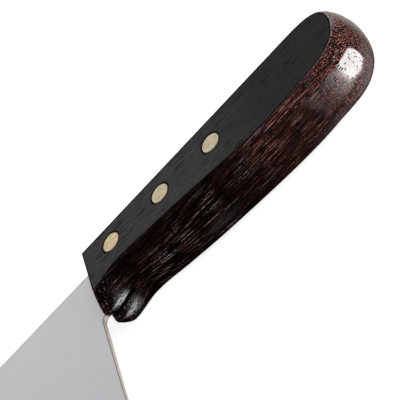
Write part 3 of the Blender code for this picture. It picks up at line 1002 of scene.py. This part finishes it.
def make_handle(*finishes):
    handle = handle_shape(*finishes)
    slot_half = SPINE_THICKNESS / 2 + CLEARANCE
    slot = tang_outline(SLOT_END_GAP)
    slot.append((slot[-1][0], TOP_CROWN + REACH))
    slot.append((HEEL - REACH, TOP_CROWN + REACH))
    slot.append((HEEL - REACH, slot[0][1]))
    inside = -NECK_DEPTH + TANG_STEP + SLOT_END_GAP
    below = -BEAK_FLAT - BEAK_BULGE - REACH
    slit = [
        (HEEL - REACH, below),
        (SAW_SLIT_LENGTH, below),
        (SAW_SLIT_LENGTH, inside),
        (HEEL - REACH, inside),
    ]
    sawn = finishes[SAWN_WOOD]
    cutters = [
        prism("slot_cutter", slot, MIDDLE - slot_half, MIDDLE + slot_half, sawn),
        prism("slit_cutter", slit, MIDDLE - SAW_SLIT_WIDTH / 2, MIDDLE + SAW_SLIT_WIDTH / 2, sawn),
    ]
    for name, place in zip(RIVET_NAMES, RIVET_PLACES):
        cutters.append(rivet_hole(name, place, sawn))
    carve(handle, cutters)
    sharpen(handle, WOOD_SHARP)
    install(handle, "handle")


def rivet_hole(name, place, finish):
    """The stepped hole for one rivet, as one turned cutter."""
    seat = HEAD_RADIUS + CLEARANCE
    hole = TUBE_RADIUS + CLEARANCE
    wide = seat + 2 * RIVET_RING_WIDTH
    profile = [
        (0, -REACH),
        (wide, -REACH),
        (wide, -EASED_DEPTH),
        (seat, EASED_DEPTH),
        (seat, HEAD_THICKNESS + CLEARANCE),
        (hole, HEAD_THICKNESS + CLEARANCE),
        (hole, THICKNESS - HEAD_THICKNESS - CLEARANCE),
        (seat, THICKNESS - HEAD_THICKNESS - CLEARANCE),
        (seat, THICKNESS - EASED_DEPTH),
        (wide, THICKNESS + EASED_DEPTH),
        (wide, THICKNESS + REACH),
        (0, THICKNESS + REACH),
    ]
    return turned(f"{name}_hole_cutter", profile, place, finish)


def make_blade(*finishes):
    blade = blade_shape(*finishes)
    blade.visible_glossy = False  # or its image would streak the varnish
    hole = TUBE_RADIUS + CLEARANCE
    profile = [(0, 0), (hole, 0), (hole, THICKNESS), (0, THICKNESS)]
    cutters = [
        turned(f"{name}_tang_cutter", profile, place, finishes[RIM_STEEL])
        for name, place in zip(RIVET_NAMES, RIVET_PLACES)
    ]
    carve(blade, cutters)
    sharpen(blade, STEEL_SHARP)
    install(blade, "blade")


def make_rivet(name, place, finish):
    """The rivet's two halves: the upper head with its tube and the lower one with its shank."""
    female_box, male_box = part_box(f"rivet_{name}_female"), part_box(f"rivet_{name}_male")
    top, tube_foot, shank_end = female_box[1].z, female_box[0].z, male_box[1].z
    bore = SHANK_RADIUS + CLEARANCE
    female = [
        (0, top),
        (HEAD_RADIUS - RIM_BEVEL, top),
        (HEAD_RADIUS, top - RIM_BEVEL),
        (HEAD_RADIUS, top - HEAD_THICKNESS),
        (TUBE_RADIUS, top - HEAD_THICKNESS),
        (TUBE_RADIUS, tube_foot),
        (bore, tube_foot),
        (bore, top - HEAD_THICKNESS),
        (0, top - HEAD_THICKNESS),
    ]
    male = [
        (0, shank_end),
        (SHANK_RADIUS - RIM_BEVEL, shank_end),
        (SHANK_RADIUS, shank_end - RIM_BEVEL),
        (SHANK_RADIUS, HEAD_THICKNESS),
        (HEAD_RADIUS, HEAD_THICKNESS),
        (HEAD_RADIUS, RIM_BEVEL),
        (HEAD_RADIUS - RIM_BEVEL, 0),
        (0, 0),
    ]
    for half, profile in (("female", female), ("male", male)):
        piece = turned(f"brass_{name}_{half}", profile, place, finish)
        sharpen(piece, BRASS_SHARP)
        install(piece, f"rivet_{name}_{half}")


def make_camera():
    data = bpy.data.cameras.new("camera")
    data.lens = CAMERA_LENS
    data.sensor_width = SENSOR
    camera = bpy.data.objects.new("camera", data)
    forward = CAMERA_FORWARD.normalized()
    right = forward.cross(CAMERA_UP).normalized()
    up = right.cross(forward)
    turn = Matrix((right, up, -forward)).transposed()
    camera.matrix_world = Matrix.Translation(CAMERA_PLACE) @ turn.to_4x4()
    data.clip_start = CLIP_START
    data.clip_end = CLIP_END
    bpy.context.scene.collection.objects.link(camera)
    bpy.context.scene.camera = camera


def make_floor():
    """A pale floor that keeps the knife's soft shadow."""
    solid = bmesh.new()
    bmesh.ops.create_grid(solid, x_segments=1, y_segments=1, size=FLOOR_HALF_SIZE)
    material, tree = new_material("pale_floor")
    finished(material, Base_Color=FLOOR_COLOUR, Roughness=0.9, Specular_IOR_Level=0.0)
    rays = add_node(tree, "ShaderNodeLightPath").outputs
    seen = calc(tree, "MAXIMUM", rays["Is Camera Ray"], rays["Is Glossy Ray"])
    seen = calc(tree, "MAXIMUM", seen, rays["Is Transmission Ray"])
    own = add_node(tree, "ShaderNodeEmission", {"Strength": product(tree, seen, FLOOR_LIFT)})
    show_sum(tree, tree.nodes[SHADER], own)
    floor = to_object("floor", solid, material)
    floor.location.z = -FLOOR_DROP
    floor.visible_glossy = False


def along_axis(tree, direction, axis):
    return vector_calc(tree, "DOT_PRODUCT", direction, axis.normalized())["Value"]


def make_world():
    """White to the camera; in a sheen, a backdrop behind, a dark room and a pale table."""
    world = bpy.data.worlds.new("studio")
    world.use_nodes = True
    world.cycles.sampling_method = "NONE"
    bpy.context.scene.world = world
    tree = world.node_tree
    direction = add_node(tree, "ShaderNodeTexCoord").outputs["Generated"]
    behind = calc(tree, "MAXIMUM", along_axis(tree, direction, BACKDROP_AXIS), LEAST)
    along = calc(tree, "DIVIDE", along_axis(tree, direction, Vector((1, 0, 0))), behind)
    along = calc(tree, "ABSOLUTE", calc(tree, "SUBTRACT", along, BACKDROP_ALONG))
    along = calc(tree, "DIVIDE", along, BACKDROP_HALF_ALONG)
    up = calc(tree, "DIVIDE", along_axis(tree, direction, Vector((0, 0, 1))), behind)
    within = ramp(tree, along, 1 + BACKDROP_SIDE_EDGE, 1 - BACKDROP_SIDE_EDGE)
    for limits in (BACKDROP_TOP, BACKDROP_FOOT):
        within = product(tree, within, ramp(tree, up, *limits))
    studio = calc(tree, "MULTIPLY_ADD", within, BACKDROP_LEVEL, ROOM_LEVEL)
    towards_table = along_axis(tree, direction, TABLE_AXIS)
    table = ramp(tree, towards_table, TABLE_FROM, TABLE_TO, 0.0, TABLE_LEVEL)
    studio = calc(tree, "ADD", studio, table)
    rays = add_node(tree, "ShaderNodeLightPath").outputs
    seen = calc(tree, "MAXIMUM", rays["Is Camera Ray"], rays["Is Transmission Ray"])
    glossy = product(tree, rays["Is Glossy Ray"], studio)
    rest = calc(tree, "SUBTRACT", 1.0, calc(tree, "ADD", seen, rays["Is Glossy Ray"]), clamp=True)
    level = calc(tree, "ADD", calc(tree, "ADD", seen, glossy), product(tree, rest, AMBIENT))
    tree.links.new(level, tree.nodes["Background"].inputs["Strength"])
    tree.nodes["Background"].inputs["Color"].default_value = (1.0, 1.0, 1.0, 1.0)


def reflector(name, corners):
    """A glowing sheet that only a sheen shows: its tree, and the socket of its strength."""
    solid = bmesh.new()
    solid.faces.new([solid.verts.new(corner) for corner in corners])
    material, tree = new_material(name)
    own = add_node(tree, "ShaderNodeEmission")
    through = add_node(tree, "ShaderNodeBsdfTransparent")
    show_sum(tree, own, through)
    tree.nodes.remove(tree.nodes[SHADER])
    material.cycles.emission_sampling = "NONE"
    sheet = to_object(name, solid, material)
    sheet.visible_camera = False
    sheet.visible_diffuse = False
    sheet.visible_transmission = False
    sheet.visible_shadow = False
    return tree, own.inputs["Strength"]


def make_softbox():
    """The softbox that makes the butt's highlight, with a soft halo on the camera's side."""
    towards = SOFTBOX_AXIS.normalized()
    across = SOFTBOX_AXIS.cross(SOFTBOX_LONG).normalized()
    spot = Vector((HANDLE_BOX[1].x - BUTT_SPOT_BACK, FLATS_TOP - BUTT_CORNER_FLAT, BUTT_SPOT_HEIGHT))
    centre = spot + towards * SOFTBOX_AWAY
    long_side = across.cross(towards) * SOFTBOX_AWAY * SHEET_MARGIN * SOFTBOX_HALF_LONG * HALO_REACH
    high_side = across * SOFTBOX_AWAY * SOFTBOX_ABOVE * HALO_REACH
    low_side = -across * SOFTBOX_AWAY * SOFTBOX_BELOW * HALO_REACH
    corners = (
        centre - long_side + low_side,
        centre + long_side + low_side,
        centre + long_side + high_side,
        centre - long_side + high_side,
    )
    tree, strength = reflector("softbox_front", corners)
    aside = vector_calc(tree, "SUBTRACT", millimetres(tree), spot / MM)[0]
    lengthways = calc(tree, "DIVIDE", along_axis(tree, aside, SOFTBOX_LONG), SOFTBOX_AWAY / MM)
    lengthways = calc(tree, "DIVIDE", calc(tree, "ABSOLUTE", lengthways), SOFTBOX_HALF_LONG)
    crossways = calc(tree, "DIVIDE", along_axis(tree, aside, across), SOFTBOX_AWAY / MM)
    edge = ramp(tree, crossways, *SOFTBOX_SOFTENS, SOFTBOX_EDGE_ABOVE, SOFTBOX_EDGE_BELOW)
    beside = ramp(tree, crossways, *HALO_GROWS)
    above = calc(tree, "DIVIDE", crossways, SOFTBOX_ABOVE)
    crossways = calc(tree, "MAXIMUM", above, calc(tree, "DIVIDE", crossways, -SOFTBOX_BELOW))
    lengthways = calc(tree, "POWER", lengthways, SOFTBOX_POWER)
    crossways = calc(tree, "POWER", crossways, SOFTBOX_POWER)
    reach = calc(tree, "POWER", calc(tree, "ADD", lengthways, crossways), 1 / SOFTBOX_POWER)
    outer, inner = calc(tree, "ADD", 1.0, edge), calc(tree, "SUBTRACT", 1.0, edge)
    softbox = ramp(tree, reach, outer, inner, 0.0, SOFTBOX_LEVEL)
    halo = product(tree, beside, ramp(tree, reach, HALO_REACH, 1.0, 0.0, HALO_LEVEL))
    tree.links.new(calc(tree, "ADD", softbox, halo), strength)


def make_panel():
    """A wide dim reflector beside the butt, which fades towards its ends and its foot."""
    corners = (
        (PANEL_FROM, -PANEL_AWAY, -PANEL_HALF_HEIGHT),
        (PANEL_END, -PANEL_AWAY, -PANEL_HALF_HEIGHT),
        (PANEL_END, -PANEL_AWAY, PANEL_HALF_HEIGHT),
        (PANEL_FROM, -PANEL_AWAY, PANEL_HALF_HEIGHT),
    )
    tree, strength = reflector("panel", corners)
    along, _, height = split(tree, millimetres(tree))
    start = ramp(tree, along, PANEL_FROM / MM, PANEL_TO / MM, 0.0, PANEL_LEVEL)
    end = ramp(tree, along, PANEL_END / MM, PANEL_FADES_FROM / MM)
    foot = ramp(tree, height, -PANEL_HALF_HEIGHT / MM, PANEL_FULL_ABOVE / MM)
    tree.links.new(product(tree, start, end, foot), strength)


def make_card():
    """A small round card that lights the beak on both sides of its slit."""
    away = CARD_AXIS.normalized()
    centre = Vector((FLATS_FRONT, FLATS_TOP - BEAK_FLAT - BEAK_NOSE, MIDDLE)) + away * CARD_AWAY
    side = away.orthogonal().normalized() * CARD_RADIUS
    rise = away.cross(side)
    corners = (centre - side - rise, centre + side - rise, centre + side + rise, centre - side + rise)
    tree, strength = reflector("card", corners)
    aside = vector_calc(tree, "DISTANCE", millimetres(tree), centre / MM)["Value"]
    tree.links.new(ramp(tree, aside, CARD_RADIUS / MM, 0.0, 0.0, CARD_LEVEL), strength)


def make_key():
    """The light on the matte surfaces, from the right of the photograph and above."""
    data = bpy.data.lights.new("softbox", "AREA")
    data.shape = "SQUARE"
    data.size = KEY_SIZE
    data.energy = KEY_POWER
    light = bpy.data.objects.new("softbox", data)
    away = KEY_AXIS.normalized()
    light.location = away * KEY_DISTANCE
    light.rotation_mode = "QUATERNION"
    light.rotation_quaternion = away.to_track_quat("Z", "Y")
    light.visible_glossy = False
    bpy.context.scene.collection.objects.link(light)


bpy.context.scene.view_settings.view_transform = "Standard"
make_camera()
make_world()
make_key()
make_softbox()
make_panel()
make_card()
make_floor()
make_handle(varnished_wood(), ground_wood(), sawn_wood(), shaded_edge_wood())
make_blade(satin_steel(), polished_steel(), polished_steel(), painted_shade_corner_steel())
brass = matte_brass()
for rivet_name, rivet_place in zip(RIVET_NAMES, RIVET_PLACES):
    make_rivet(rivet_name, rivet_place, brass)
